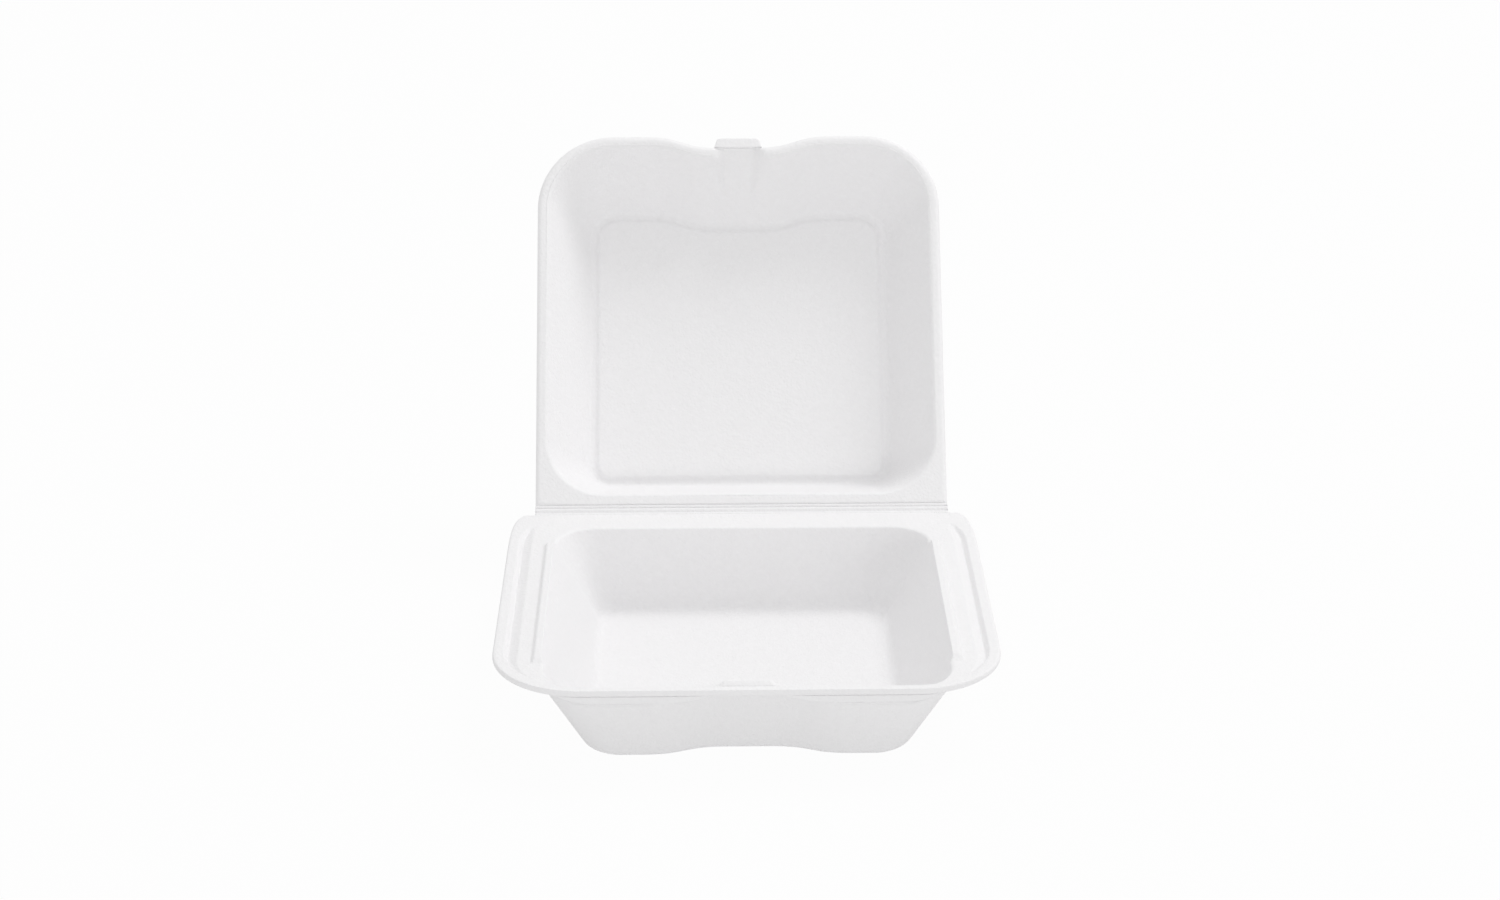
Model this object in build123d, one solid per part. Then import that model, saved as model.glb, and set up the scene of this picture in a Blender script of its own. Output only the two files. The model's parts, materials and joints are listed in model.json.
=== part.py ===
from build123d import *
import os
from math import hypot

# Foam takeaway box with a hinged lid, standing open. Millimetres, +Z up, -Y is the front.
# The origin is the middle of the tray's flat underside. Tray and lid are pressed from foam sheet.

# Tray seen from above
tray_width = 213.0           # across the outer rim
tray_length = 184.0          # hinge line to the front of the rim
tray_depth = 38.5            # flange top to the inside floor
tray_sheet = 3.0             # foam thickness
hinge_width = 192.0          # length of the hinge line, and the lid's width
rear_corner_start = 2.5      # hinge line to where the rim starts to widen
rear_corner_end = 41.0       # hinge line to where it has its full width
rear_corner_lead = 0.4       # share of the widening before the rim turns forwards
rear_corner_pull = 0.3       # share of the length over which it turns
rim_corner_radius = 38.0     # front corners
rim_top_fillet = 1.3
rim_base_fillet = 1.2

# Tray pocket. A run is how far a wall comes in between the flange and the floor.
mouth_width = 169.2
mouth_rear = 20.3            # hinge line to the rear edge of the mouth
front_wall_inset = 0.9       # front of the rim to the drafted front wall, at flange level
mouth_rear_radius = 17.0
mouth_front_radius = 19.0
side_run = 18.6
rear_run = 6.1
front_run = 21.5
corner_run = 7.0             # how much the corner radii shrink on the way down
floor_fillet = 3.5
base_fillet = 4.0

# Wave in the front walls of tray and lid, which are set back in the middle
wave_depth = 5.6
wave_growth = 1.1            # extra depth of the wave at the tray's floor
wave_outer = 44.0            # from the middle to where the wave starts
wave_inner = 10.0            # and to where it ends

# Rim and skirt round the tray's flange
rim_front_width = 3.4
skirt_inset = 1.0            # edge of the rim to the skirt under it
skirt_draft = 0.05           # how much the skirt comes in for each millimetre down
skirt_depth = 6.8            # flange top to the bottom of the front skirt
skirt_outer = 38.0           # from the middle to where the front skirt starts to rise
skirt_inner = 12.0           # and to where it has run out

# Gutter between the flat flange and the rim. Insets are from the edge of the rim.
gutter_rim_inset = 4.7
gutter_floor_inset = 6.6
gutter_crease_inset = 10.9
gutter_depth = 2.5
gutter_tail_radius = 30.0    # how it runs out to a point at the rear corners
gutter_corner_radius = 26.0

# Ribs beside the tray's mouth, which locate the closed lid
rib_start = 38.0             # hinge line to the rear end of each rib
rib_end = 158.2
rib_height = 2.0
rib_foot = 5.3               # width at the flange
rib_slope = 1.4              # run of the sloped outer side
rib_hip = 2.2                # run of the sloped ends
rib_fillet = 0.6

# Catch and tab slot in the middle of the tray's front
catch_width = 21.8
catch_length = 2.2           # front to back, from the mouth's edge
catch_height = 1.6
slot_width = 24.4
slot_gap = 0.7
slot_inset = 3.8             # front of the rim to the middle of the slot

# Lid
lid_length = 184.2           # hinge line to the front of the lip
lid_depth = 34.0
lid_sheet = 1.9
lid_lean = 36.0              # from upright, as it stands open
lid_corner_radius = 36.0
lip_width = 4.2
lip_fillet = 1.1
lip_step = 0.9               # height of the small riser inside the lip
lip_step_run = 0.7
lid_mouth_rear = 6.9         # hinge line to the lid's pocket
lid_rear_radius = 28.0
lid_side_run = 19.8
lid_rear_run = 12.6
lid_front_run = 23.9
lid_corner_run = 18.0
lid_fillet = 2.5
panel_rise = 1.2             # raised middle of the roof
panel_margin = 3.0           # groove left round it

# Channel in the lid's front wall, and the tab
channel_floor = 13.8         # width
channel_depth = 19.0         # lip to where the channel has run out
channel_flare = 50.0         # slope of its sides, in degrees
tab_length = 5.3
tab_root = 23.4              # width where it leaves the lip
tab_tip = 17.6
tab_corner = 2.2
tab_crease = 0.5

# Hinge line
bead_radius = 1.2
groove_offset = 2.9          # hinge line to the groove on either side
groove_width = 1.3
groove_depth = 0.9
clearance = 0.3

over = 3.0                   # how far cutting shapes reach beyond what they cut
base_z = -tray_depth - tray_sheet
front_floor = tray_length - front_wall_inset - front_run
hinge_y = (mouth_rear + rear_run + front_floor) / 2
front_zone = tray_length - 2 * mouth_front_radius
mouth_front = tray_length - front_wall_inset - wave_depth
lip_y = lid_length - wave_depth
tab_z = -catch_height - clearance
axis_z = clearance / 2 - base_z


def outline(half, rear, front, rear_radius, front_radius, wave=0.0):
    """Closed outline in plan: straight sides, round corners, and a front set back in the middle.

    Tray and lid are drawn alike: hinge line along X at y = 0, flange top at z = 0, front towards +Y.
    """
    bend = 0.5 ** 0.5
    turn = (wave_outer + wave_inner) / 2
    back = front - wave
    runs = []
    for side in (1, -1):
        x = side * half
        rear_x = side * (half - rear_radius)
        rear_y = rear + rear_radius
        front_x = side * (half - front_radius)
        front_y = front - front_radius
        rear_bend = (rear_x + side * rear_radius * bend, rear_y - rear_radius * bend)
        front_bend = (front_x + side * front_radius * bend, front_y + front_radius * bend)
        start = side * wave_outer
        middle = side * turn
        end = side * wave_inner
        rear_corner = [ThreePointArc((rear_x, rear), rear_bend, (x, rear_y))] if rear_radius else []
        runs.append(rear_corner + [
            Line((x, rear_y), (x, front_y)),
            ThreePointArc((x, front_y), front_bend, (front_x, front)),
            Line((front_x, front), (start, front)),
            Bezier((start, front), (middle, front), (middle, back), (end, back)),
        ])
    across = Line((wave_inner, back), (-wave_inner, back))
    closing = Line((rear_radius - half, rear), (half - rear_radius, rear))
    return Face(Wire(runs[0] + [across] + runs[1][::-1] + [closing]))


def between(levels):
    """Solid with straight walls from one outline to the next, given as (height, outline) pairs."""
    return loft([Pos(0, 0, z) * face for z, face in levels], ruled=True)


def edges_at(shape, z, behind=-1000.0):
    """Edges at one height, further from the hinge line than behind."""
    return [e for e in shape.edges() if abs(e.bounding_box().max.Z - z) < 0.01
            and abs(e.bounding_box().min.Z - z) < 0.01 and e.center().Y > behind]


def across(thickness, run, depth):
    """Thickness of a drafted wall measured in plan."""
    return thickness * hypot(run, depth) / depth


def front_band(low_z, high_z, flat_z, near, far):
    """Block along the front whose lower face rises in two waves to flat_z in the middle."""
    outer = skirt_outer
    inner = skirt_inner
    turn = (outer + inner) / 2
    end = tray_width / 2 - rim_corner_radius
    profile = Wire([
        Line((-end, high_z), (end, high_z)),
        Line((end, high_z), (end, low_z)),
        Line((end, low_z), (outer, low_z)),
        Bezier((outer, low_z), (turn, low_z), (turn, flat_z), (inner, flat_z)),
        Line((inner, flat_z), (-inner, flat_z)),
        Bezier((-inner, flat_z), (-turn, flat_z), (-turn, low_z), (-outer, low_z)),
        Line((-outer, low_z), (-end, low_z)),
        Line((-end, low_z), (-end, high_z)),
    ])
    face = Plane.XZ.offset(-near) * Face(profile)
    return extrude(face, far - near, dir=(0, 1, 0))


def tray_walls(z, thickness=0.0):
    """The tray's drafted walls cut at height z: the inside, or the outside when given the sheet."""
    down = -z / tray_depth
    return outline(mouth_width / 2 - side_run * down + across(thickness, side_run, tray_depth),
                   mouth_rear + rear_run * down - across(thickness, rear_run, tray_depth),
                   tray_length - front_wall_inset - front_run * down
                   + across(thickness, front_run, tray_depth),
                   mouth_rear_radius - corner_run * down + thickness,
                   mouth_front_radius - corner_run * down + thickness,
                   wave_depth + wave_growth * down)


def rim_inset(inset, rear, rear_radius):
    """Outline that follows the tray's rim at a distance inside it."""
    return outline(tray_width / 2 - inset, rear, tray_length - inset, rear_radius, rim_corner_radius - inset)


def tray_flange():
    """Flat plate with a straight hinge line, soft rear corners and a rounded rim."""
    half = tray_width / 2
    hinge_half = hinge_width / 2
    lead = (half - hinge_half) * rear_corner_lead
    pull = rear_corner_start + (rear_corner_end - rear_corner_start) * rear_corner_pull
    front_x = half - rim_corner_radius
    front_y = tray_length - rim_corner_radius
    bend = rim_corner_radius * 0.5 ** 0.5
    runs = []
    for side in (1, -1):
        x = side * hinge_half
        wide = side * half
        runs.append([
            Line((x, 0), (x, rear_corner_start)),
            Bezier((x, rear_corner_start), (x + side * lead, rear_corner_start),
                   (wide, pull), (wide, rear_corner_end)),
            Line((wide, rear_corner_end), (wide, front_y)),
            ThreePointArc((wide, front_y), (side * (front_x + bend), front_y + bend),
                          (side * front_x, tray_length)),
        ])
    front = Line((front_x, tray_length), (-front_x, tray_length))
    closing = Line((-hinge_half, 0), (hinge_half, 0))
    plate = extrude(Face(Wire(runs[0] + [front] + runs[1][::-1] + [closing])), -tray_sheet)
    plate = fillet(edges_at(plate, 0, rear_corner_start), rim_top_fillet)
    return fillet(edges_at(plate, -tray_sheet, rear_corner_start), rim_base_fillet)


def gutter(top_z, floor_z, thickness=0.0):
    """Ring between the rim and the crease down to floor_z, grown all round by a thickness."""
    rim_slope = (gutter_floor_inset - gutter_rim_inset) / gutter_depth
    crease_slope = (gutter_crease_inset - gutter_floor_inset) / gutter_depth
    rim_levels = []
    crease_levels = []
    for z in (floor_z, top_z):
        rim = gutter_rim_inset - z * rim_slope - across(thickness, rim_slope, 1)
        crease = gutter_crease_inset + z * crease_slope + across(thickness, crease_slope, 1)
        wider = gutter_crease_inset - crease
        rim_levels.append((z, rim_inset(rim, rim, gutter_tail_radius + gutter_rim_inset - rim)))
        crease_levels.append((z, outline(tray_width / 2 - crease, -tray_length,
                                         tray_length - rim_front_width + wider,
                                         0, gutter_corner_radius + wider)))
    return between(rim_levels) - between(crease_levels)


def tray_rib():
    """Rib on the right of the mouth. Its inner side is left inside the pocket, which trims it."""
    inner = mouth_width / 2 - side_run
    foot = mouth_width / 2 + rib_foot
    top_foot = foot - rib_slope
    middle = (rib_start + rib_end) / 2
    base = Pos((inner + foot) / 2, middle) * Rectangle(foot - inner, rib_end - rib_start)
    top = Pos((inner + top_foot) / 2, middle) * Rectangle(top_foot - inner, rib_end - rib_start - 2 * rib_hip)
    rib = between([(0, base.face()), (rib_height, top.face())])
    return fillet(edges_at(rib, rib_height), rib_fillet)


def build_tray():
    tray = between([(z, tray_walls(z, tray_sheet)) for z in (base_z, -rim_top_fillet)])
    tray = fillet(edges_at(tray, base_z), base_fillet)
    tray += front_band(-skirt_depth, -rim_top_fillet, -tray_sheet, front_zone, tray_length)
    tray += gutter(-rim_top_fillet, -gutter_depth - tray_sheet, tray_sheet)
    tray &= between([(z, rim_inset(skirt_inset - z * skirt_draft, skirt_inset, gutter_tail_radius))
                     for z in (base_z - over, -rim_top_fillet)])
    tray += tray_flange()
    tray += tray_rib() + mirror(tray_rib(), about=Plane.YZ)
    catch_y = mouth_front + catch_length / 2
    tray += Pos(0, catch_y, catch_height / 2) * Box(catch_width, catch_length, catch_height)

    pocket = between([(z, tray_walls(z)) for z in (-tray_depth, over)])
    pocket = fillet(edges_at(pocket, -tray_depth), floor_fillet)
    within = Pos(0, 0, -tray_depth) * rim_inset(rim_front_width, 0, rim_front_width)
    pocket &= extrude(within, tray_depth + over)
    tray -= pocket
    tray -= gutter(rib_height, -gutter_depth)
    trough = front_band(tray_sheet - skirt_depth, over, 0.0, front_zone, tray_length - rim_front_width)
    tray -= trough - Box(2 * skirt_inner, 2 * tray_length, 2 * tray_depth)
    tray -= Pos(0, tray_length - slot_inset, -tray_sheet / 2) * Box(slot_width, slot_gap, tray_sheet + over)
    tray -= hinge_groove()
    bead = Pos(0, 0, clearance / 2) * Rot(0, 90, 0) * Cylinder(bead_radius, hinge_width)
    return tray + bead


def hinge_groove():
    """Pressed line beside the hinge, V shaped, along the whole of it."""
    half = groove_width / 2
    profile = Polyline((-half, 0), (0, -groove_depth), (half, 0), (half, over), (-half, over), close=True)
    face = Plane.YZ * Pos(groove_offset, 0) * Face(Wire(profile.edges()))
    return extrude(face, hinge_width, both=True)


def lid_walls(z, thickness=0.0, inset=0.0):
    """The lid's drafted walls cut at height z, or an outline a little inside them."""
    down = -z / lid_depth
    mouth = hinge_width / 2 - lip_width
    return outline(mouth - lid_side_run * down + across(thickness, lid_side_run, lid_depth) - inset,
                   lid_mouth_rear + lid_rear_run * down - across(thickness, lid_rear_run, lid_depth) + inset,
                   lid_length - lip_width - lid_front_run * down
                   + across(thickness, lid_front_run, lid_depth) - inset,
                   lid_rear_radius - lid_corner_run * down + thickness - inset,
                   lid_corner_radius - lip_width - lid_corner_run * down + thickness - inset,
                   wave_depth)


def lid_flange():
    plate = outline(hinge_width / 2, bead_radius + clearance, lid_length, 0, lid_corner_radius, wave_depth)
    plate = extrude(plate, -lid_sheet)
    return fillet(edges_at(plate, 0, groove_offset), lip_fillet)


def channel(thickness=0.0):
    """Flared trough in the middle of the front wall, from its fade-out up to the tab's crease."""
    rise = channel_depth + tab_z
    reach = lip_width + channel_depth * lid_front_run / lid_depth
    length = hypot(rise, reach)
    inwards = (0, -rise / length, reach / length)
    floor = Plane(origin=(0, lip_y + tab_crease / 2, tab_z), x_dir=(1, 0, 0), z_dir=inwards).offset(-thickness)
    face = floor * Pos(0, -length / 2) * Rectangle(channel_floor + 2 * thickness, length)
    trough = extrude(face, lid_sheet + 2 * lip_width, taper=-channel_flare)
    if not thickness:
        return trough
    below = Pos(0, lip_y - lid_depth, -lid_depth - lid_sheet / 2)
    return trough & below * Box(hinge_width, 2 * lid_depth, 2 * lid_depth)


def tab():
    """Closing tab, with round corners and a pressed crease where it leaves the lip."""
    root = tab_root / 2
    tip = tab_tip / 2
    tip_y = lip_y + tab_length
    plan = Polyline((-root, lip_y - lid_sheet), (-root, lip_y), (-tip, tip_y),
                    (tip, tip_y), (root, lip_y), (root, lip_y - lid_sheet), close=True)
    plate = extrude(Pos(0, 0, tab_z) * Face(Wire(plan.edges())), lid_sheet, dir=(0, 0, -1))
    tips = [e for e in plate.edges().filter_by(Axis.Z) if e.center().Y > lip_y + tab_length / 2]
    plate = fillet(tips, tab_corner)
    crease = Pos(0, lip_y + tab_crease, tab_z) * Rot(45, 0, 0) * Box(hinge_width, tab_crease, tab_crease)
    return plate - crease


def catch_notch():
    """Room in the lip for the tray's catch, which stands in it when the lid is closed."""
    near = mouth_front - clearance
    length = lip_y + over - near
    height = over - tab_z
    return Pos(0, near + length / 2, tab_z + height / 2) * Box(catch_width + 2 * clearance, length, height)


def build_lid():
    roof_z = -lid_depth - lid_sheet
    panel = [(-lid_depth, lid_walls(-lid_depth, 0, panel_margin)),
             (panel_rise - lid_depth, lid_walls(-lid_depth, 0, panel_margin + panel_rise))]
    recess = [(roof_z, panel[0][1]), (roof_z + panel_rise, panel[1][1])]
    lid = between([(z, lid_walls(z, lid_sheet)) for z in (roof_z, -lid_sheet / 2)])
    lid = fillet(edges_at(lid, roof_z), lid_fillet + lid_sheet)
    lid += lid_flange() + channel(lid_sheet) + tab()
    pocket = between([(-lid_depth, lid_walls(-lid_depth)), (-lip_step, lid_walls(-lip_step, 0, lip_step_run)),
                      (0, lid_walls(0)), (over, lid_walls(0))])
    pocket = fillet(edges_at(pocket, -lid_depth), lid_fillet)
    lid -= pocket - between(panel)
    lid -= between(recess)
    lid -= channel()
    lid -= catch_notch()
    return lid - hinge_groove()


def main():
    hinge = Pos(0, hinge_y, axis_z)
    tray = hinge * Pos(0, 0, -clearance / 2) * Rot(0, 0, 180) * build_tray()
    lid = hinge * Rot(90 - lid_lean, 0, 0) * Pos(0, 0, -clearance / 2) * build_lid()
    os.makedirs("parts", exist_ok=True)
    for name, piece in (("tray", tray), ("lid", lid)):
        piece.label = name
        export_step(piece, f"parts/{name}.step")


main()
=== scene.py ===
# %% [markdown]
# # A foam takeaway box, standing open
#
# The real box is one sheet of expanded polystyrene foam, pressed hot between two moulds. The packed
# CAD model fixes its sizes, its place and its hinge. This lesson dresses it: every surface that shows
# is worked out again with numpy, with the soft edges that pressed foam has, and gets a foam skin.
# The frame is loaded first, because each piece takes its place from it.

# %% Load the frame
import json
import math
import bpy
import numpy as np
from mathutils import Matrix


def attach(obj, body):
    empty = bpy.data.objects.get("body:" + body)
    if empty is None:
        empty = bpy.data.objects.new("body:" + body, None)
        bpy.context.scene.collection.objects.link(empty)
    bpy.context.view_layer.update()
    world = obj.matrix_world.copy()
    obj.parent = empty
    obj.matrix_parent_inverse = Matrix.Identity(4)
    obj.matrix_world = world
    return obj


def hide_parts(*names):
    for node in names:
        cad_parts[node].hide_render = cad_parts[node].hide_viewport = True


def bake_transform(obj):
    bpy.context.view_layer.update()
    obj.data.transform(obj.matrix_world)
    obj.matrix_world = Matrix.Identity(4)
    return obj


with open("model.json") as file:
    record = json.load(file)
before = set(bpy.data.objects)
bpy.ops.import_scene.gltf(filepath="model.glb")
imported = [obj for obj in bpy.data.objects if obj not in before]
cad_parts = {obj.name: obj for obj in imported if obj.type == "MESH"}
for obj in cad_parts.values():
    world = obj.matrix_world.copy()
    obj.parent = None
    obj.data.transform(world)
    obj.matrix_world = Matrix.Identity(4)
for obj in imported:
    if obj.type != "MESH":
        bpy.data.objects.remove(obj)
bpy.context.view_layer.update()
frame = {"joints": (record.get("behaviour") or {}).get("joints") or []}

hinge = frame["joints"][0]

# %% [markdown]
# ## Sizes
#
# Tray and lid are drawn alike, as flat sheets in millimetres: the hinge line lies along X at y = 0, the
# flange's top at z = 0, the front towards +Y, and the pocket hangs down. A last step turns each sheet
# into its place in the open box. Most sizes are the CAD model's own. The tab, the slope of the catch,
# the skirt's waves and the rim's rear corners follow the photograph more closely.

# %% Sizes of the pressed sheet
MM = 0.001
RIM_HALF, RIM_FRONT, RIM_CORNER = 106.5, 184.0, 38.0
RIM_CORNER_X, RIM_CORNER_Y = RIM_HALF - RIM_CORNER, RIM_FRONT - RIM_CORNER
RIM_REAR_CORNER = 34.7
RIM_INSET, RIM_ROLL, RIM_DROP = 1.15, 1.2, 1.3
TRAY_DEPTH, TRAY_SHEET = 38.5, 3.0
HINGE_HALF, REAR_START, REAR_END = 96.0, 2.5, 41.0
FRONT_EDGE, FLAT_HALF, FLAT_CORNER = 180.6, 95.6, 26.0
RIM_LAND, GUTTER_DEPTH, GUTTER_STEEP, GUTTER_GENTLE = 4.7, 2.5, 1.9, 4.3
SKIRT_OUTER, SKIRT_INNER, SKIRT_FALL = 33.0, 6.0, 3.8
RIB_START, RIB_END, RIB_HEIGHT, RIB_FOOT = 38.0, 158.2, 2.0, 5.3
MOUTH_HALF, MOUTH_REAR, MOUTH_FRONT = 84.6, 20.3, 183.1
MOUTH_REAR_CORNER, MOUTH_FRONT_CORNER = 17, 19
TRAY_SIDE_RUN, TRAY_REAR_RUN, TRAY_FRONT_RUN = 18.6, 6.1, 21.5
CATCH_HALF, CATCH_FRONT, CATCH_HEIGHT = 10.9, 179.7, 1.6
SLOT_Y, SLOT_HALF = 180.2, 12.2
LID_FRONT, LID_DEPTH, LID_SHEET, LID_LEAN = 184.2, 34.0, 1.9, 36.0
LID_CORNER, LID_REAR_CORNER = 36, 28
LID_SIDE_RUN, LID_REAR_RUN, LID_FRONT_RUN = 19.8, 12.6, 23.9
PANEL_RISE, PANEL_INSET, PANEL_GROOVE = 1.2, 4.4, 3.0
LIP = 4.2
WAVE, WAVE_OUTER, WAVE_INNER = 5.6, 44.0, 10.0
LIP_START = LID_FRONT - LIP - WAVE
CHANNEL_HALF, CHANNEL_RISE, CHANNEL_REACH, CHANNEL_FLARE = 6.9, 17.1, 17.55, 50
PRESSED_HALF, PRESSED_START = 30, 154
NOTCH_HALF, NOTCH_START, NOTCH_Z = 11.6, 177.5, -2.15
TAB_Z, TAB_CREASE = -1.9, 178.85
TRAY_GROOVE, LID_GROOVE = 4.3, 2.9
POCKET_MIDDLE = 92.0
CLEAR = 0.3
AXIS = np.array(hinge["pos_m"]) / MM

# %% [markdown]
# ## Loops
#
# Every level of the box, from the middle of its floor out to the rim and back underneath, is the same
# closed loop: straight sides, round corners, and a front set back in the middle in two waves. Each
# point of the loop is a plain sum of the sizes, so two loops made with the same samples match point
# for point, and a surface is a stack of loops. This was chosen over a height map, because the rear
# wall is too steep for one.

# %% Samples along half a loop
REAR_N, CORNER_N, FRONT_N, WAVE_N, MIDDLE_N = 44, 30, 12, 26, 9
ramp = np.array([0, 0.35, 0.7, 1.3, 1.9, 2.4, 2.9, 3.4, 4.0, 5.0])
side_y = np.concatenate([37.3 + ramp, np.linspace(43.6, 152.6, 70),
                         164.1 - np.arange(11.0, -0.01, -0.55)])
SIDE = (side_y - side_y[0]) / (side_y[-1] - side_y[0])
REAR = np.linspace(0, 1, REAR_N, endpoint=False)
TURN = np.linspace(0, 1, CORNER_N, endpoint=False)
PART = {"rear": REAR_N, "rear_corner": CORNER_N, "side": len(SIDE), "front_corner": CORNER_N,
        "front": FRONT_N, "wave": WAVE_N, "middle": MIDDLE_N}
KIND = np.concatenate([np.full(n, i) for i, n in enumerate(PART.values())])
ON_SIDE, ON_CORNER, ON_FRONT = (list(PART).index(name) for name in ("side", "front_corner", "front"))
print("points in half a loop", len(KIND))


def steps(count, closed=False):
    """Evenly spaced shares from 0 up to 1, with or without the 1."""
    return np.linspace(0, 1, count, endpoint=closed)


def half_loop(half, rear, front, rear_radius, front_radius, wave):
    """Right half of a loop from the middle of the rear to the middle of the front, as (n, 2) points.

    Corners are quarter circles, centre + radius * (sin, cos). The wave is a cubic with level ends:
    x and y each blend their four control values, which makes y fall by wave * (3t^2 - 2t^3).
    """
    rows = [np.stack([REAR * (half - rear_radius), np.full(REAR_N, rear)], 1)]
    a = TURN * np.pi / 2
    rows.append(np.stack([half - rear_radius + rear_radius * np.sin(a),
                          rear + rear_radius - rear_radius * np.cos(a)], 1))
    rows.append(np.stack([np.full(len(SIDE), half),
                          rear + rear_radius + SIDE * (front - front_radius - rear - rear_radius)], 1))
    a = (TURN + 1 / CORNER_N) * np.pi / 2
    rows.append(np.stack([half - front_radius + front_radius * np.cos(a),
                          front - front_radius + front_radius * np.sin(a)], 1))
    t = steps(FRONT_N + 1, True)[1:]
    rows.append(np.stack([half - front_radius + t * (WAVE_OUTER - half + front_radius),
                          np.full(FRONT_N, front)], 1))
    t = steps(WAVE_N + 1, True)[1:]
    mid = (WAVE_OUTER + WAVE_INNER) / 2
    x = WAVE_OUTER * (1 - t) ** 3 + 3 * mid * t * (1 - t) + WAVE_INNER * t ** 3
    rows.append(np.stack([x, front - wave * (3 * t ** 2 - 2 * t ** 3)], 1))
    t = steps(MIDDLE_N + 1, True)[1:]
    rows.append(np.stack([WAVE_INNER * (1 - t), np.full(MIDDLE_N, front - wave)], 1))
    return np.concatenate(rows)


def at(loop, z):
    """The loop lifted to a height, which is one number or one for each point."""
    return np.column_stack([loop, np.broadcast_to(z, len(loop))])


def across(thickness, run, depth):
    """Thickness of a drafted wall measured in plan."""
    return thickness * math.hypot(run, depth) / depth


def tray_wall(z, thickness=0.0):
    """Loop on the tray's drafted walls at height z: the inside, or the outside when given the sheet."""
    d = -z / TRAY_DEPTH
    return at(half_loop(MOUTH_HALF - TRAY_SIDE_RUN * d + across(thickness, TRAY_SIDE_RUN, TRAY_DEPTH),
                        MOUTH_REAR + TRAY_REAR_RUN * d - across(thickness, TRAY_REAR_RUN, TRAY_DEPTH),
                        MOUTH_FRONT - TRAY_FRONT_RUN * d + across(thickness, TRAY_FRONT_RUN, TRAY_DEPTH),
                        MOUTH_REAR_CORNER - 7 * d + thickness, MOUTH_FRONT_CORNER - 7 * d + thickness,
                        WAVE + 1.1 * d), z)


def lid_wall(z, thickness=0.0, inset=0.0):
    """Loop on the lid's drafted walls at height z, or a little inside them."""
    d = -z / LID_DEPTH
    side = HINGE_HALF - LIP - LID_SIDE_RUN * d + across(thickness, LID_SIDE_RUN, LID_DEPTH) - inset
    rear = 6.9 + LID_REAR_RUN * d - across(thickness, LID_REAR_RUN, LID_DEPTH) + inset
    front = LID_FRONT - LIP - LID_FRONT_RUN * d + across(thickness, LID_FRONT_RUN, LID_DEPTH) - inset
    return at(half_loop(side, rear, front, LID_REAR_CORNER - 18 * d + thickness - inset,
                        LID_CORNER - LIP - 18 * d + thickness - inset, WAVE), z)


# %% [markdown]
# ## From loops to a skin
#
# Between two given loops the surface is straight, and where it turns, pressed foam has a small round
# edge. `soften` puts that edge in: a quadratic curve from a little before the turn to a little after it,
# worked out for all points of the loop at once. `closed_skin` joins a stack of whole loops into quads
# and closes both ends at a pole, and `skin` mirrors half loops before that.

# %% Softened turns and the mesh itself
def soften(loops, radii, bends=6, runs=None):
    """Stack of loops with a quadratic curve (1-t)^2 a + 2t(1-t) b + t^2 c at every turn b.

    a and c lie at the radius from the turn, or at 0.46 of the way where a neighbour is closer.
    runs gives how many plain steps the straight part before each loop gets.
    """
    runs = runs or [1] * len(loops)
    out = [loops[0]]
    for i in range(1, len(loops)):
        last = i == len(loops) - 1
        before, turn = loops[i - 1], loops[i]
        back = before - turn
        length = np.linalg.norm(back, axis=1, keepdims=True) + 1e-9
        start = turn if last else turn + back * np.minimum(0.46, radii[i] / length)
        t = steps(runs[i] + 1, True)[1:]
        out += [out[-1] + (start - out[-1]) * s for s in t]
        if last:
            break
        ahead = loops[i + 1] - turn
        reach = np.linalg.norm(ahead, axis=1, keepdims=True) + 1e-9
        end = turn + ahead * np.minimum(0.46, radii[i] / reach)
        for s in steps(bends, True)[1:]:
            out.append((1 - s) ** 2 * start + 2 * s * (1 - s) * turn + s ** 2 * end)
    return out


def toward(loop, centre, shares):
    """Copies of a loop drawn in towards a centre point, for a flat floor or roof."""
    return [centre + (loop - centre) * s for s in shares]


def whole(half):
    """Both halves of a stack of half loops: the left one is the right one mirrored, run backwards."""
    left = half[:, -2:0:-1] * np.array([-1, 1, 1])
    return np.concatenate([half, left], axis=1)


def closed_skin(name, grid, place):
    """Closed mesh through whole loops, with a pole at each end."""
    rows, around = grid.shape[:2]
    points = np.concatenate([grid.reshape(-1, 3), grid[[0, -1]].mean(axis=1)])
    r, c = np.meshgrid(np.arange(rows - 1), np.arange(around), indexing="ij")
    n = (c + 1) % around
    quads = np.stack([r * around + c, r * around + n, (r + 1) * around + n, (r + 1) * around + c], -1)
    ring = np.arange(around)
    base = (rows - 1) * around
    first = np.stack([np.full(around, rows * around), (ring + 1) % around, ring], 1)
    final = np.stack([np.full(around, rows * around + 1), base + ring, base + (ring + 1) % around], 1)
    return mesh_object(name, place(points), [quads.reshape(-1, 4), first, final])


def skin(name, stack, place):
    """Closed mesh through a stack of half loops, whose first and last loops shrink to a pole."""
    return closed_skin(name, whole(np.array(stack)), place)


def mesh_object(name, points, faces):
    """Blender object from points in millimetres and arrays of quads and triangles, smooth shaded."""
    mesh = bpy.data.meshes.new(name)
    sizes = np.concatenate([np.full(len(f), f.shape[1]) for f in faces])
    corners = np.concatenate([f.ravel() for f in faces])
    mesh.vertices.add(len(points))
    mesh.vertices.foreach_set("co", (points * MM).astype(np.float32).ravel())
    mesh.loops.add(len(corners))
    mesh.loops.foreach_set("vertex_index", corners.astype(np.int32))
    mesh.polygons.add(len(sizes))
    mesh.polygons.foreach_set("loop_start", (np.cumsum(sizes) - sizes).astype(np.int32))
    mesh.polygons.foreach_set("use_smooth", np.ones(len(sizes), bool))
    mesh.update(calc_edges=True)
    mesh.validate()
    made = bpy.data.objects.new(name, mesh)
    bpy.context.scene.collection.objects.link(made)
    print(name, "points", len(points), "faces", len(sizes))
    return made


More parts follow.
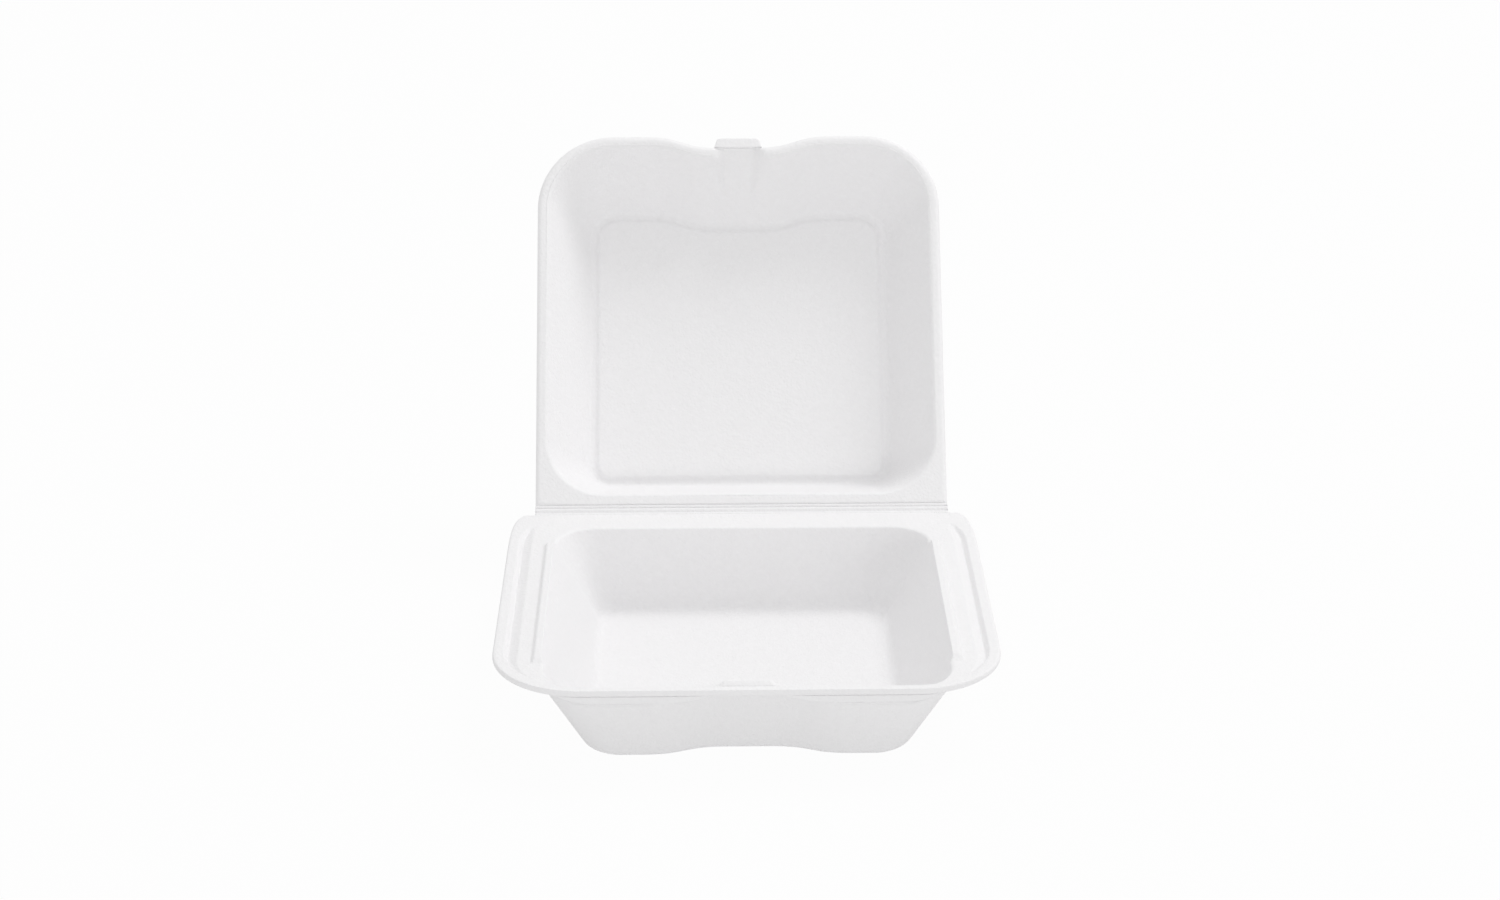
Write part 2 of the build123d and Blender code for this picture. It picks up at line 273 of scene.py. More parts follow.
def tray_place(p):
    """Sheet to open box for the tray: half a turn about Z, flange top just under the hinge axis."""
    return AXIS + np.column_stack([-p[:, 0], -p[:, 1], p[:, 2] - CLEAR / 2])


def lid_place(p):
    """Sheet to open box for the lid, which leans back from upright."""
    a = math.radians(90 - LID_LEAN)
    y, z = p[:, 1], p[:, 2] - CLEAR / 2
    return AXIS + np.column_stack([p[:, 0], y * math.cos(a) - z * math.sin(a),
                                   y * math.sin(a) + z * math.cos(a)])


# %% [markdown]
# ## The tray's flange
#
# The flange carries most of the small forms: a V-shaped gutter inside the rim that runs out to a point
# at the rear corners, two low ribs beside the mouth that locate the lid, and in the middle of the
# front a catch with a sloped face and the shallow mark of a slot. Each is a height over the flat
# sheet, found from the distance to its own lines. A soft minimum rounds the edges as the mould does.

# %% Heights over the flange
def soft_min(values, k):
    """Smallest of several arrays, with its corners rounded over about k."""
    values = np.array(values)
    low = values.min(axis=0)
    return low - k * np.log(np.exp(-(values - low) / k).sum(axis=0))


def rim_distance(x, y):
    """How far a point lies inside the rim, whose rear corners are rounded where the gutter ends."""
    x = np.abs(x)
    plain = np.minimum(RIM_HALF - x, RIM_FRONT - y)
    rear_x = RIM_HALF - RIM_REAR_CORNER
    rear = RIM_REAR_CORNER - np.hypot(x - rear_x, y - RIM_REAR_CORNER)
    front = RIM_CORNER - np.hypot(x - RIM_CORNER_X, y - RIM_CORNER_Y)
    plain = np.where((x > rear_x) & (y < RIM_REAR_CORNER), rear, plain)
    return np.where((x > RIM_CORNER_X) & (y > RIM_CORNER_Y), front, plain)


def crease_distance(x, y):
    """How far a point lies outside the crease where the flat flange ends."""
    x = np.abs(x)
    centre_x, centre_y = FLAT_HALF - FLAT_CORNER, FRONT_EDGE - FLAT_CORNER
    round_part = np.hypot(x - centre_x, y - centre_y) - FLAT_CORNER
    straight = np.maximum(x - FLAT_HALF, y - FRONT_EDGE)
    return np.where((x > centre_x) & (y > centre_y), round_part, straight)


def gutter(x, y):
    """Depth of the gutter: a steep side towards the rim and a gentle one towards the mouth."""
    steep = (rim_distance(x, y) - RIM_LAND) / GUTTER_STEEP * GUTTER_DEPTH
    gentle = crease_distance(x, y) / GUTTER_GENTLE * GUTTER_DEPTH
    v = soft_min([steep, gentle], 0.16)
    return np.maximum(0, v) ** 2 / (np.maximum(0, v) + 0.12)


def rib(x, y):
    """Height of the ribs: rise from the mouth's edge, flat top, sloped outer side and ends."""
    x = np.abs(x)
    h = soft_min([(x - MOUTH_HALF) * 2 / 0.97, (MOUTH_HALF + RIB_FOOT - x) * 2 / 1.4,
                  (y - RIB_START) * 2 / 2.2, (RIB_END - y) * 2 / 2.2,
                  np.full_like(x, RIB_HEIGHT)], 0.09)
    return np.maximum(0, h)


def trough(x):
    """Share of the flange's fall behind the front rim: none in the middle, all of it at the sides."""
    t = steps(41, True)
    mid = (SKIRT_OUTER + SKIRT_INNER) / 2
    xs = SKIRT_OUTER * (1 - t) ** 3 + 3 * mid * t * (1 - t) + SKIRT_INNER * t ** 3
    return np.interp(np.abs(x), xs[::-1], (1 - 3 * t ** 2 + 2 * t ** 3)[::-1])


def bump(value, half, edge):
    """1 inside a strip of that half width, falling smoothly to 0 over the edge."""
    t = np.clip((half - np.abs(value)) / edge, 0, 1)
    return t * t * (3 - 2 * t)


def flange_height(p):
    """Flange points at their heights: sheet, less gutter and slot mark, plus ribs and catch."""
    x, y = p[:, 0], p[:, 1]
    z = p[:, 2] - gutter(x, y) + rib(x, y)
    catch = soft_min([(y - 177.3) * 2.2, 0.2 + (CATCH_FRONT + 0.5 - y) * 0.9,
                      np.full_like(y, CATCH_HEIGHT)], 0.12)
    z += np.maximum(0, catch) * bump(x, CATCH_HALF, 0.5)
    z -= 0.3 * bump(y - SLOT_Y - 0.2, 0.3, 0.3) * bump(x, SLOT_HALF, 0.6)
    return np.column_stack([x, y, under_strip(y, z, TRAY_GROOVE, RIM_DROP)])


def under_strip(y, z, groove, drop):
    """Heights lowered behind the groove beside the hinge, where the folding strip lies on top."""
    t = np.clip((groove + 0.35 - y) / 0.6, 0, 1)
    return np.minimum(z, z * (1 - t) - drop * t * t * (3 - 2 * t))


# %% [markdown]
# ## Where the mouth meets the rim
#
# Along the front the pocket reaches right under the rim, so its drafted wall is cut off by a straight
# one. The height of that cut differs from point to point. It is found by looking down the wall in small
# steps for the first place inside the rim's line. The same search, from outside, gives the bottom of
# the skirt that shows under the rim.

# %% Lines along the mouth, the rim and the skirt
front_part = KIND >= ON_FRONT
wave_x = tray_wall(0)[:, 0]


def first_inside(wall, inset, top, bottom):
    """Highest level, for each point, at which the wall lies at least inset inside the rim."""
    z = np.linspace(top, bottom, 121)
    stack = np.array([wall(v) for v in z])
    inside = np.minimum(RIM_HALF - stack[..., 0], RIM_FRONT - stack[..., 1])
    corner = RIM_CORNER - np.hypot(stack[..., 0] - RIM_CORNER_X, stack[..., 1] - RIM_CORNER_Y)
    turned = (stack[..., 0] > RIM_CORNER_X) & (stack[..., 1] > RIM_CORNER_Y)
    deep = np.where(turned, corner, inside) - inset
    index = np.clip((deep < 0).sum(axis=0), 0, len(z) - 1)
    return z[index]


def wall_at(wall, heights):
    """Points of a wall at a height given for each of them, between two far levels."""
    bottom, top = -30.0, 3.0
    low, high = wall(bottom), wall(top)
    share = (heights - bottom) / (top - bottom)
    return low + (high - low) * share[:, None]


def pulled_in(p, inset):
    """Points moved in to a line that follows the rim at that distance, where they lie outside it."""
    x, y = p[:, 0].copy(), p[:, 1].copy()
    corner = (x > RIM_CORNER_X) & (y > RIM_CORNER_Y)
    radius = np.hypot(x - RIM_CORNER_X, y - RIM_CORNER_Y)
    scale = np.where(corner, np.minimum(1, (RIM_CORNER - inset) / np.maximum(radius, 1)), 1)
    x = np.where(corner, RIM_CORNER_X + (x - RIM_CORNER_X) * scale, x)
    y = np.where(corner, RIM_CORNER_Y + (y - RIM_CORNER_Y) * scale, y)
    return np.column_stack([np.minimum(x, RIM_HALF - inset), np.minimum(y, RIM_FRONT - inset), p[:, 2]])


def rim_line(inset, z):
    """The rim's own outline, whose rear is the hinge line and whose rear corners widen along a curve."""
    loop = half_loop(RIM_HALF - inset, 0, RIM_FRONT - inset, 0, RIM_CORNER - inset, 0)
    rear = slice(0, REAR_N)
    corner = slice(REAR_N, REAR_N + CORNER_N)
    side = slice(REAR_N + CORNER_N, REAR_N + CORNER_N + len(SIDE))
    loop[rear, 0] = REAR * (HINGE_HALF - inset)
    t = np.clip((TURN * CORNER_N - 4) / (CORNER_N - 4), 0, 1)
    up = np.clip(TURN * CORNER_N / 4, 0, 1) * (REAR_START + inset)
    lead, pull = HINGE_HALF + 8.0, 9.0
    xs = (HINGE_HALF * (1 - t) ** 3 + 3 * lead * t * (1 - t) ** 2 + 3 * RIM_HALF * t ** 2 * (1 - t)
          + RIM_HALF * t ** 3) - inset
    ys = (REAR_START * (1 - t) ** 3 + 3 * REAR_START * t * (1 - t) ** 2 + 3 * pull * t ** 2 * (1 - t)
          + REAR_END * t ** 3) + inset * (1 - t)
    loop[corner] = np.column_stack([xs, np.where(t > 0, ys, up)])
    loop[side, 1] = REAR_END + SIDE * (RIM_CORNER_Y - REAR_END)
    return at(loop, z)


# %% [markdown]
# ## The tray
#
# The stack runs from the middle of the inside floor up the wall, over the flange, round the rim and
# down the outside to the middle of the base. Rows lie close together where the flange has its creases.

# %% Build the tray
def offset_out(loop, distance):
    """Mouth loop grown by a distance, with its corners' centres kept."""
    grown = half_loop(MOUTH_HALF + distance, MOUTH_REAR - distance, MOUTH_FRONT + distance,
                      MOUTH_REAR_CORNER + distance, MOUTH_FRONT_CORNER + distance, WAVE)
    return np.column_stack([grown, loop[:, 2]])


def inner_lines():
    """Wall's top edge, the foot of the front rim and its inner edge, as three loops.

    Away from the ribs the mouth's edge starts a little lower, so that it turns over softly.
    """
    cut = np.minimum(first_inside(tray_wall, RIM_FRONT - FRONT_EDGE, 0, -6), 0)
    fall = np.where(KIND >= ON_CORNER, -SKIRT_FALL * trough(wave_x) * np.clip((70 - wave_x) / 3, 0, 1), 0)
    edge_z = np.where(KIND >= ON_CORNER, np.minimum(cut, np.where(front_part, fall, 0)), 0)
    y = tray_wall(0)[:, 1]
    beside = np.clip(np.minimum(y - RIB_START + 0.4, RIB_END + 0.4 - y) / 1.2, 0, 1)
    ribbed = np.where(KIND == ON_SIDE, beside, 0)
    fading = np.where(KIND == ON_CORNER, np.clip(1 - (y - 164) / 6, 0, 1), 0)
    rolled = np.where(KIND <= ON_SIDE, 1 - ribbed, fading)
    top = wall_at(tray_wall, edge_z - 0.55 * rolled)
    rim = pulled_in(at(offset_out(top, 1.0)[:, :2], 0), RIM_FRONT - FRONT_EDGE)
    rim[front_part, 1] = FRONT_EDGE
    rim[front_part, 0] = top[front_part, 0]
    gap = np.clip(rim[:, 1] - top[:, 1], 0, 3.2)
    foot = (top + rim) / 2
    foot[:, 2] += 0.12 * rolled
    deep = 0.5 + 0.5 * np.clip(gap / 0.8, 0, 1)
    foot[front_part, 1] = (rim[:, 1] - 0.24 * gap)[front_part]
    foot[front_part, 2] = (edge_z * deep)[front_part]
    return top, foot, rim


FLANGE_START = 85.6
FLANGE_X = np.array([86.6, 87.3, 87.9, 88.4, 88.8, 89.2, 89.6, 90.0, 90.5, 91.6, 93.0,
                     94.2, 94.9, 95.4, 95.8, 96.3, 97.0, 97.8, 98.5, 99.1, 99.5, 99.8,
                     100.1, 100.4, 100.8, 101.2, 101.5, 101.8, 102.1, 102.6, 103.4, 104.3, 105.2])


def tray_stack():
    """All loops of the tray, from the inside floor's middle to the base's middle."""
    top, foot, rim = inner_lines()
    floor_edge = tray_wall(-TRAY_DEPTH)
    floor_in = at(half_loop(MOUTH_HALF - 24.6, 32.4, 155.6, 5, 6, 6.7), -TRAY_DEPTH)
    middle = np.array([0, POCKET_MIDDLE, -TRAY_DEPTH])
    stack = toward(floor_in, middle, [0.001, 0.2, 0.4, 0.6, 0.8, 0.93])
    outer = rim_line(0, 0)
    shares = (FLANGE_X - FLANGE_START) / (RIM_HALF - FLANGE_START)
    flange = [rim + (outer - rim) * s for s in shares]
    bends, wall_steps = 5, 9
    wall = soften([floor_in, floor_edge, top, foot, rim, flange[0]], [0, 4.2, 0.9, 0.35, 0.3, 0],
                  bends, [0, 1, wall_steps, 6, 4, 1])
    edge = 1 + 1 + bends + wall_steps
    rows = wall[:edge] + [flange_height(r) for r in wall[edge:] + flange[1:]]
    run = outer - flange[-1]
    for s in steps(6, True)[1:] * np.pi / 2:
        roll = flange[-1] + run * np.sin(s) - np.array([0, 0, RIM_DROP]) * (1 - np.cos(s))
        z = under_strip(roll[:, 1], roll[:, 2], TRAY_GROOVE, RIM_DROP)
        rows.append(np.column_stack([roll[:, :2], z]))
    for s in steps(6, True) * np.pi / 2:
        inset = RIM_INSET * (1 - np.cos(s))
        rows.append(rim_line(inset, RIM_ROLL - TRAY_SHEET - RIM_ROLL * np.sin(s)))
    return stack + rows + outer_rows(rows[-1])


def outer_rows(last):
    """Underside of the flange with its skirt, the outside of the wall and the base."""
    outside = lambda z: tray_wall(z, TRAY_SHEET)
    under_z = -TRAY_SHEET
    cut = np.minimum(first_inside(outside, 1.25, under_z, -12), under_z)
    skirt = under_z - SKIRT_FALL * trough(wave_x)
    level = np.where(KIND >= ON_CORNER, np.minimum(cut, np.where(front_part, skirt, under_z)), under_z)
    head = wall_at(outside, level)
    drop = np.clip(under_z - level, 0, SKIRT_FALL) / SKIRT_FALL
    some = np.minimum(1, 4 * drop)[:, None]

    def row(share, inset, z):
        """Skirt row at that distance inside the rim, which fades into the flange's plain underside."""
        plain = last + (head - last) * share
        turned = np.maximum(0, plain[:, 0] - RIM_CORNER_X)
        y = RIM_CORNER_Y + np.sqrt(np.maximum((RIM_CORNER - inset) ** 2 - turned ** 2, 0))
        return plain + (np.column_stack([plain[:, 0], y, z]) - plain) * some

    turns = [row(0.2, RIM_INSET + 1.9 * drop, under_z - 0.05 * drop),
             row(0.4, RIM_INSET + 0.2 * drop, under_z - 0.55 * drop),
             row(0.6, RIM_INSET + 0.35 * drop, level + 0.3 * drop),
             row(0.85, 1.2 + 2.1 * drop, level + 0.1 * drop)]
    head[:, 1] -= 1.3 * drop
    head[:, 2] -= 1.3 * drop
    under = soften([last] + turns + [head], [0, 0.1, 0.25, 0.25, 0.2, 0], 4, [0, 2, 2, 5, 4, 3])[1:]
    for r in under:
        r[:, 2] -= np.where(front_part, 0, gutter(r[:, 0], r[:, 1]))
    base = wall_at(outside, np.full(len(KIND), -TRAY_DEPTH - TRAY_SHEET))
    centre = np.array([0, POCKET_MIDDLE, -TRAY_DEPTH - TRAY_SHEET])
    inward = centre + (base - centre) * 0.9
    body = soften([under[-1], base, inward], [0, 5.0, 0], 6, [0, 10, 1])[1:]
    return under + body + toward(inward, centre, [0.8, 0.55, 0.3, 0.1, 0.001])


tray = skin("tray_shell", tray_stack(), tray_place)


# %% [markdown]
# ## The lid
#
# The lid is a shallower pressing with a convex lip all round. Its roof has a raised panel, and the
# middle of its front wall has a flared channel that leads to the closing tab. The channel is a second
# surface, and the sheet is pushed down to it wherever the channel lies lower.

# %% Build the lid
def channel(p, thickness=0.0):
    """z of the channel under each point: its sloped floor, rising on both sides at the flare's angle.

    Across the lip the sides get flatter, so that they reach the lip's top at nearly the same width.
    """
    length = math.hypot(CHANNEL_RISE, CHANNEL_REACH)
    floor = TAB_Z + (p[:, 1] - TAB_CREASE) * CHANNEL_RISE / CHANNEL_REACH
    plain = length / CHANNEL_REACH / math.tan(math.radians(CHANNEL_FLARE))
    across_lip = np.clip((p[:, 1] - LIP_START) / LIP, 0, 1)
    flatter = np.clip(-floor / (5.3 - 0.5 * across_lip), 0.42, plain)
    slope = np.where(p[:, 1] > LIP_START, flatter, plain)
    side = np.maximum(0, np.abs(p[:, 0]) - CHANNEL_HALF - thickness) * slope
    return floor + side - thickness * length / CHANNEL_REACH


def pressed(p, thickness=0.0):
    """Points of the lid lowered into the channel, with a soft edge along it."""
    z = channel(p, thickness)
    near = (np.abs(p[:, 0]) < PRESSED_HALF) & (p[:, 1] > PRESSED_START)
    low = soft_min([np.where(near, z, 99.0), p[:, 2]], 0.14)
    return np.column_stack([p[:, :2], np.where(near, np.minimum(low, p[:, 2]), p[:, 2])])


def lip_form(p, inner):
    """Convex lip: it falls towards the pocket, rolls over at its edge and is notched for the catch."""
    outer = np.minimum(HINGE_HALF - p[:, 0], LID_FRONT - p[:, 1] - WAVE * wave_share(p[:, 0]))
    centre_x, centre_y = HINGE_HALF - LID_CORNER, LID_FRONT - LID_CORNER
    corner = LID_CORNER - np.hypot(p[:, 0] - centre_x, p[:, 1] - centre_y)
    outer = np.where((p[:, 0] > centre_x) & (p[:, 1] > centre_y), corner, outer)
    z = p[:, 2] - 1.25 * np.clip(1 - outer / 2.3, 0, 1) ** 2.4
    away = np.linalg.norm(p[:, :2] - inner[:, :2], axis=1)
    z -= 0.3 * np.clip(1 - away / 1.6, 0, 1) ** 2
    notch = bump(p[:, 0], NOTCH_HALF, 0.5) * np.clip((p[:, 1] - NOTCH_START) / 0.3, 0, 1)
    z += notch * (NOTCH_Z - z)
    return np.column_stack([p[:, :2], under_strip(p[:, 1], z, LID_GROOVE, 1.05)])


def wave_share(x):
    """Share of the front wave's set-back at x, read from the loop itself."""
    line = half_loop(HINGE_HALF, 0, 0, 0, LID_CORNER, 1)[front_part]
    return np.interp(np.abs(x), line[::-1, 0], -line[::-1, 1])


def edge_line(inset, z):
    """The lid's outer edge: square at the hinge, round at the front."""
    return at(half_loop(HINGE_HALF - inset, 1.5 + inset, LID_FRONT - inset, 0, LID_CORNER - inset, WAVE), z)


def lid_stack():
    """All loops of the lid, from the middle of its roof inside to the middle of its roof outside."""
    panel = lid_wall(-LID_DEPTH, 0, PANEL_INSET)
    panel[:, 2] += PANEL_RISE
    groove = lid_wall(-LID_DEPTH, 0, PANEL_GROOVE)
    roof = lid_wall(-LID_DEPTH)
    step = lid_wall(-0.95, 0, 0.7)
    inner = lid_wall(0)
    middle = np.array([0, POCKET_MIDDLE, PANEL_RISE - LID_DEPTH])
    panel_in = middle + (panel - middle) * 0.95
    stack = toward(panel_in, middle, [0.001, 0.2, 0.4, 0.6, 0.8, 0.93])
    wall = soften([panel_in, panel, groove, roof, step, inner], [0, 1.0, 0.8, 2.2, 0.35, 0], 5,
                  [0, 1, 1, 1, 12, 2])
    edge = edge_line(0, 0)
    lip = [inner + (edge - inner) * s for s in steps(20, True)[1:]]
    rows = [pressed(r) for r in wall] + [pressed(lip_form(r, inner)) for r in lip]
    turned_under = [(0.02, -1.45), (0.1, -1.68), (0.35, -1.86), (0.8, -1.9)]
    side = [pressed(edge_line(inset, z)) for inset, z in turned_under]
    outside = lid_wall(-LID_SHEET, LID_SHEET)
    back = lid_wall(-LID_DEPTH - LID_SHEET, LID_SHEET)
    recess = lid_wall(-LID_DEPTH, 0, PANEL_GROOVE)
    recess[:, 2] = -LID_DEPTH - LID_SHEET
    deep = lid_wall(-LID_DEPTH, 0, 4.2)
    deep[:, 2] = PANEL_RISE - LID_DEPTH - LID_SHEET
    centre = np.array([0, POCKET_MIDDLE, PANEL_RISE - LID_DEPTH - LID_SHEET])
    deep_in = centre + (deep - centre) * 0.95
    shell = soften([side[-1], outside, back, recess, deep, deep_in], [0, 0.8, 3.4, 0.6, 0.8, 0], 5,
                   [0, 6, 12, 1, 1, 1])[1:]
    shell = [pressed(r, LID_SHEET) for r in shell]
    return stack + rows + side + shell + toward(deep_in, centre, [0.9, 0.7, 0.45, 0.2, 0.001])


lid = skin("lid_shell", lid_stack(), lid_place)


# %% [markdown]
# ## The closing tab
#
# The tab is a short tongue that leaves the lip at a pressed crease. On a real box it bends there and
# tucks into the tray's slot. It is a row of boxy oval sections along Y, so one formula gives its
# width, its rolled edges and its tip.

# %% Build the tab
def tab_section(y, n=72):
    """Section of the tongue at y: a boxy oval, (w |cos a|^0.16, h |sin a|^0.5), inside the lip's sheet.

    Half the width follows the slanted side and the round tip corner. The height shrinks over the
    last 0.8 mm, and the top dips where the crease crosses it. The inner end narrows and sinks below
    the channel's floor, so that it doesn't show.
    """
    root, tip, start, end, r = 11.7, 10.7, 178.6, 183.9, 2.5
    inner = min(1.0, max(0.0, (178.45 - y) / 1.65))
    w = np.interp(y, [start, end - r], [root, tip])
    past = np.clip(y - (end - r), 0, r)
    w = w - r + math.sqrt(r * r - past * past) if past > 0 else w - 5.7 * inner
    h = LID_SHEET / 2 * math.sqrt(max(0.0, 1 - max(0.0, (y - end + 0.8) / 0.8) ** 2)) + 0.01
    a = np.linspace(0, 2 * np.pi, n, endpoint=False) + np.pi / n
    x = w * np.sign(np.cos(a)) * np.abs(np.cos(a)) ** 0.16
    z = h * np.sign(np.sin(a)) * np.abs(np.sin(a)) ** 0.5
    dip = 0.6 * math.exp(-((y - 178.75) / 0.34) ** 2) * (z > 0) + 2.25 * inner
    return np.column_stack([x, np.full(n, y), TAB_Z - LID_SHEET / 2 + z - dip])


tab_y = np.concatenate([np.linspace(176.8, 178.3, 6), np.linspace(178.4, 179.8, 12),
                        np.linspace(180.1, 183.1, 12),
                        183.9 - 0.8 * (1 - np.sin(steps(7, True)[1:] * np.pi / 2))])
tab_grid = np.stack([tab_section(v) for v in tab_y])[:, ::-1]
tab = closed_skin("lid_tab", tab_grid, lid_place)

# %% [markdown]
# ## The hinge
#
# The foam runs through the hinge: two pressed grooves with a ridge between them, thin enough to fold.
# One strip carries that section from end to end. It is fixed in place and rides on neither body.

# %% Build the folding strip
def hinge_section():
    """Closed section of the strip, relative to the axis, as (y, z): top from tray to lid, then back."""
    a = math.radians(90 - LID_LEAN)
    lid_dir = np.array([math.cos(a), math.sin(a)])
    lid_up = np.array([-math.sin(a), math.cos(a)])
    on_tray = lambda along, up: np.array([-1.0, 0]) * along + np.array([0, 1.0]) * up
    on_lid = lambda along, up: lid_dir * along + lid_up * up
    top = [on_tray(s, n) for s, n in [(TRAY_GROOVE, -1.05), (3.9, -0.5), (3.4, -0.15), (2.7, -0.15),
                                      (2.0, -0.45), (1.5, -0.8), (1.1, -0.5)]]
    ridge = [0.95 * np.array([math.cos(t), math.sin(t)]) for t in np.radians([150, 130, 110, 90, 75])]
    rise = [on_lid(s, n) for s, n in [(1.0, -0.5), (1.2, -0.75), (1.4, -0.45), (1.75, -0.17),
                                      (2.2, -0.17), (2.55, -0.55), (LID_GROOVE, -1.05)]]
    back = [on_lid(LID_GROOVE, -2.08), on_lid(1.6, -2.08), np.array([0.75, -1.1]),
            np.array([0.35, -1.5]), on_tray(0.6, -3.0), on_tray(1.4, -3.18),
            on_tray(TRAY_GROOVE, -3.18)]
    return np.array(top + ridge + rise + back)


def rounded(points, times):
    """Closed polygon with its corners cut a quarter of the way along each side, again and again."""
    for _ in range(times):
        ahead = np.roll(points, -1, axis=0)
        points = np.stack([points * 0.75 + ahead * 0.25, points * 0.25 + ahead * 0.75], 1).reshape(-1, 2)
    return points


section = rounded(hinge_section(), 2)
ends = np.concatenate([[0.0, 0.25, 0.6, 1.1], np.linspace(2, 190, 60),
                       [190.9, 191.4, 191.75, 192.0]])
size = np.ones(len(ends))
size[[0, -1]], size[[1, -2]], size[[2, -3]] = 0.8, 0.92, 0.98
mid = section.mean(axis=0)
strip_grid = np.stack([np.column_stack([np.full(len(section), e - HINGE_HALF), mid + (section - mid) * s])
                       for e, s in zip(ends, size)])
strip = closed_skin("hinge_strip", strip_grid[:, ::-1], lambda p: AXIS + p)

# %% [markdown]
# ## Foam skin
#
# Pressed foam is white, a little glossy and never quite smooth: flattened beads of about a millimetre
# show as a fine grain, and the hot mould leaves slow waves. The colour barely changes, and the light
# passes a short way into the foam. The grain is bump from a cell pattern and two noises on Object
# coordinates, so it stays put when a body moves.

# %% Foam material
def foam(name, grain):
    """Principled white with cell and noise bump; grain scales how much of it shows."""
    m = bpy.data.materials.new(name)
    m.use_nodes = True
    nodes, links = m.node_tree.nodes, m.node_tree.links
    shader = nodes["Principled BSDF"]
    shader.inputs["Roughness"].default_value = 0.55
    shader.inputs["Subsurface Weight"].default_value = 0.12
    shader.inputs["Subsurface Radius"].default_value = (1, 1, 1)
    shader.inputs["Subsurface Scale"].default_value = 0.0006
    where = nodes.new("ShaderNodeTexCoord")
    cells = nodes.new("ShaderNodeTexVoronoi")
    cells.feature = "SMOOTH_F1"
    cells.inputs["Scale"].default_value = 900
    fine = nodes.new("ShaderNodeTexNoise")
    fine.inputs["Scale"].default_value = 420
    fine.inputs["Detail"].default_value = 4
    slow = nodes.new("ShaderNodeTexNoise")
    slow.inputs["Scale"].default_value = 38
    slow.inputs["Detail"].default_value = 2
    for n in (cells, fine, slow):
        links.new(where.outputs["Object"], n.inputs["Vector"])
    tint = nodes.new("ShaderNodeMix")
    tint.data_type = "RGBA"
    tint.inputs["A"].default_value = (0.9, 0.893, 0.9, 1)
    tint.inputs["B"].default_value = (0.94, 0.934, 0.942, 1)
    links.new(fine.outputs["Fac"], tint.inputs["Factor"])
    links.new(tint.outputs["Result"], shader.inputs["Base Color"])
    last = None
    for source, strength, distance in ((slow.outputs["Fac"], 0.3, 0.0005),
                                       (fine.outputs["Fac"], 0.5 * grain, 0.0003),
                                       (cells.outputs["Distance"], 0.7 * grain, 0.00025)):
        b = nodes.new("ShaderNodeBump")
        b.inputs["Strength"].default_value = strength
        b.inputs["Distance"].default_value = distance
        links.new(source, b.inputs["Height"])
        if last:
            links.new(last.outputs["Normal"], b.inputs["Normal"])
        last = b
    links.new(last.outputs["Normal"], shader.inputs["Normal"])
    return m


skin_finish = foam("foam_skin", 1.0)
for piece in (tray, lid, tab, strip):
    piece.data.materials.append(skin_finish)

# %% Ride on the bodies
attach(tray, "tray")
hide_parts("tray")
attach(lid, "lid")
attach(tab, "lid")
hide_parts("lid")
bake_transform(strip)

# %% [markdown]
# ## Floor, light and camera
#
# The photograph has a white ground and soft light. The sky gives most of it here. One lamp stands high
# on the right and a little behind the box, and a weak one low in front lifts the walls that face the
# viewer. The floor looks nearly white, keeps a faint shadow and gives off some light of its own. The
# camera was fitted to the tray's rim.

# %% Stage
FLOOR_GLOW, FLOOR_SEEN = 0.42, 0.54
FOCAL_PX, PHOTO_PX, SENSOR = 2864.8, 1500, 36
YAW, PITCH = -1.009, 22.286
FIT_Y, FIT_Z = 94.0, 41.5


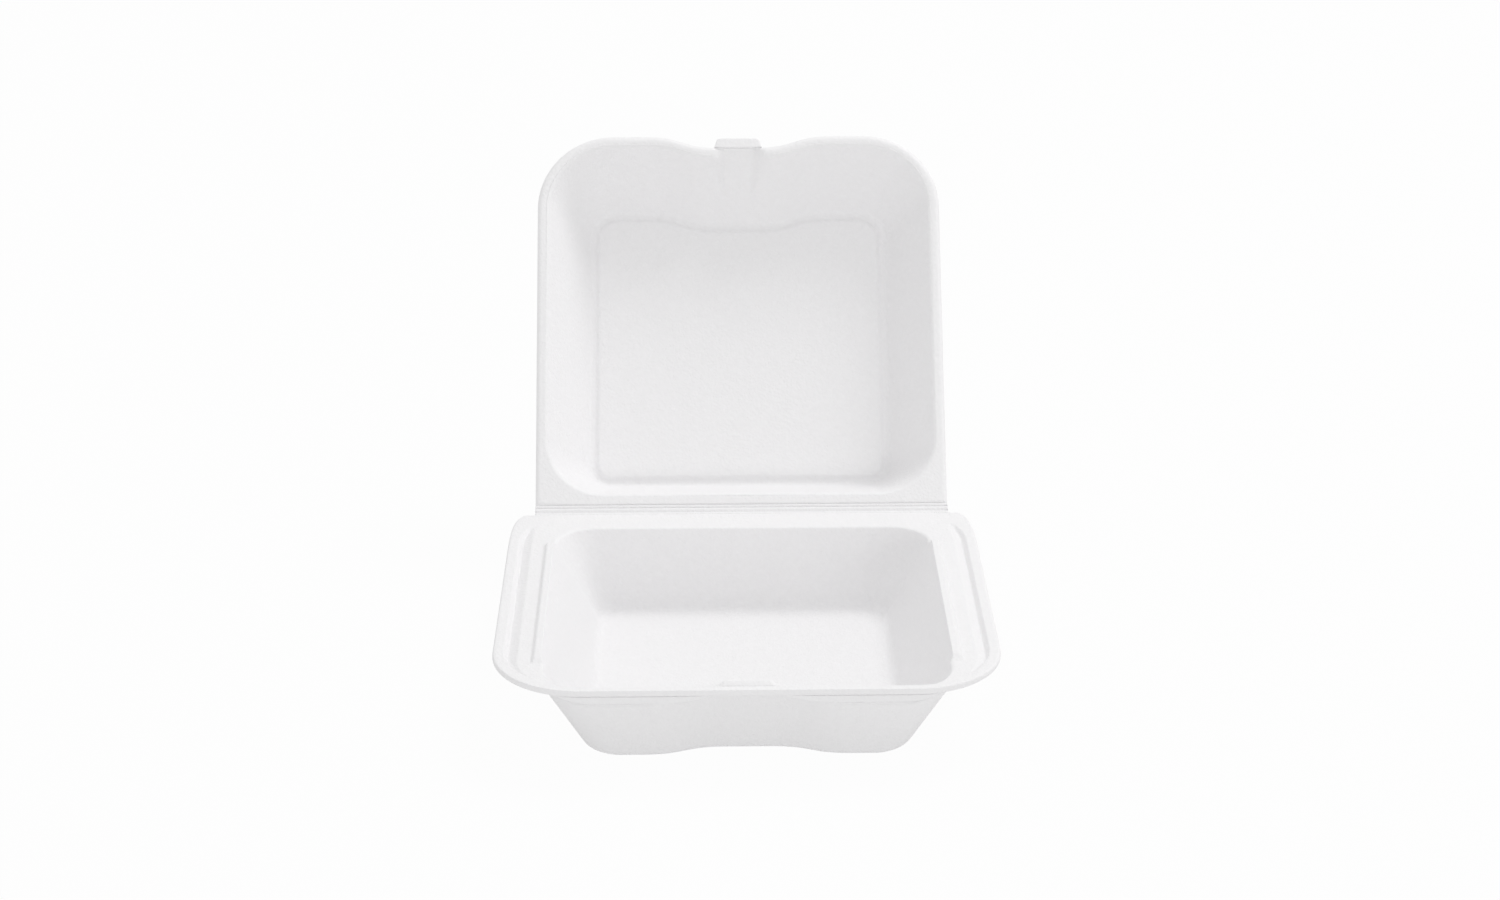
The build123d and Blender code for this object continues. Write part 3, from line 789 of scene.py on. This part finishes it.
def floor_material():
    """Pale floor: matte mixed with an even white glow, of which the camera's own rays get more."""
    m = bpy.data.materials.new("floor_pale")
    m.use_nodes = True
    nodes, links = m.node_tree.nodes, m.node_tree.links
    nodes.clear()
    out = nodes.new("ShaderNodeOutputMaterial")
    matte = nodes.new("ShaderNodeBsdfDiffuse")
    matte.inputs["Color"].default_value = (0.7, 0.7, 0.7, 1)
    white = nodes.new("ShaderNodeEmission")
    white.inputs["Color"].default_value = (1, 1, 1, 1)
    path = nodes.new("ShaderNodeLightPath")
    share = nodes.new("ShaderNodeMath")
    share.operation = "MULTIPLY_ADD"
    share.inputs[1].default_value = FLOOR_SEEN
    share.inputs[2].default_value = FLOOR_GLOW
    mix = nodes.new("ShaderNodeMixShader")
    links.new(path.outputs["Is Camera Ray"], share.inputs[0])
    links.new(share.outputs[0], mix.inputs[0])
    links.new(matte.outputs[0], mix.inputs[1])
    links.new(white.outputs[0], mix.inputs[2])
    links.new(mix.outputs[0], out.inputs[0])
    return m


corners = np.array([[-4, -4, 0], [4, -4, 0], [4, 4, 0], [-4, 4, 0]]) / MM
floor = mesh_object("floor", corners, [np.array([[0, 1, 2, 3]])])
floor.data.materials.append(floor_material())

world = bpy.data.worlds.new("soft_white")
bpy.context.scene.world = world
world.use_nodes = True
tree = world.node_tree
sky = tree.nodes["Background"]
path = tree.nodes.new("ShaderNodeLightPath")
level = tree.nodes.new("ShaderNodeMix")
level.data_type = "FLOAT"
level.inputs["A"].default_value = 0.73
level.inputs["B"].default_value = 1.0
tree.links.new(path.outputs["Is Camera Ray"], level.inputs["Factor"])
tree.links.new(level.outputs["Result"], sky.inputs["Strength"])
sky.inputs["Color"].default_value = (1, 1, 1, 1)


def lamp(name, place, target, size, power):
    """Square soft light that faces a target point."""
    data = bpy.data.lights.new(name, "AREA")
    data.size = size
    data.energy = power
    made = bpy.data.objects.new(name, data)
    made.location = place
    aim = np.array(target) - np.array(place)
    made.rotation_euler = (math.atan2(math.hypot(aim[0], aim[1]), -aim[2]), 0,
                           math.atan2(aim[1], aim[0]) - math.pi / 2)
    bpy.context.scene.collection.objects.link(made)


lamp("key", (1.35, 0.8, 3.0), (0, 0.05, 0.05), 1.2, 32)
lamp("card", (0.7, -2.2, 0.3), (0, 0.05, 0.1), 0.45, 3.9)

camera_data = bpy.data.cameras.new("camera")
camera = bpy.data.objects.new("camera", camera_data)
bpy.context.scene.collection.objects.link(camera)
bpy.context.scene.camera = camera
camera_data.sensor_width = SENSOR
camera_data.lens = FOCAL_PX * SENSOR / PHOTO_PX
turn = math.radians(YAW)
seen = np.array([3.875, -1224.64, 532.03])
camera.location = (MM * (seen[0] * math.cos(turn) - seen[1] * math.sin(turn)),
                   MM * (seen[0] * math.sin(turn) + seen[1] * math.cos(turn) + FIT_Y),
                   MM * (seen[2] + FIT_Z))
camera.rotation_euler = (math.radians(90 - PITCH), 0, turn)
bpy.context.scene.view_settings.view_transform = "Standard"
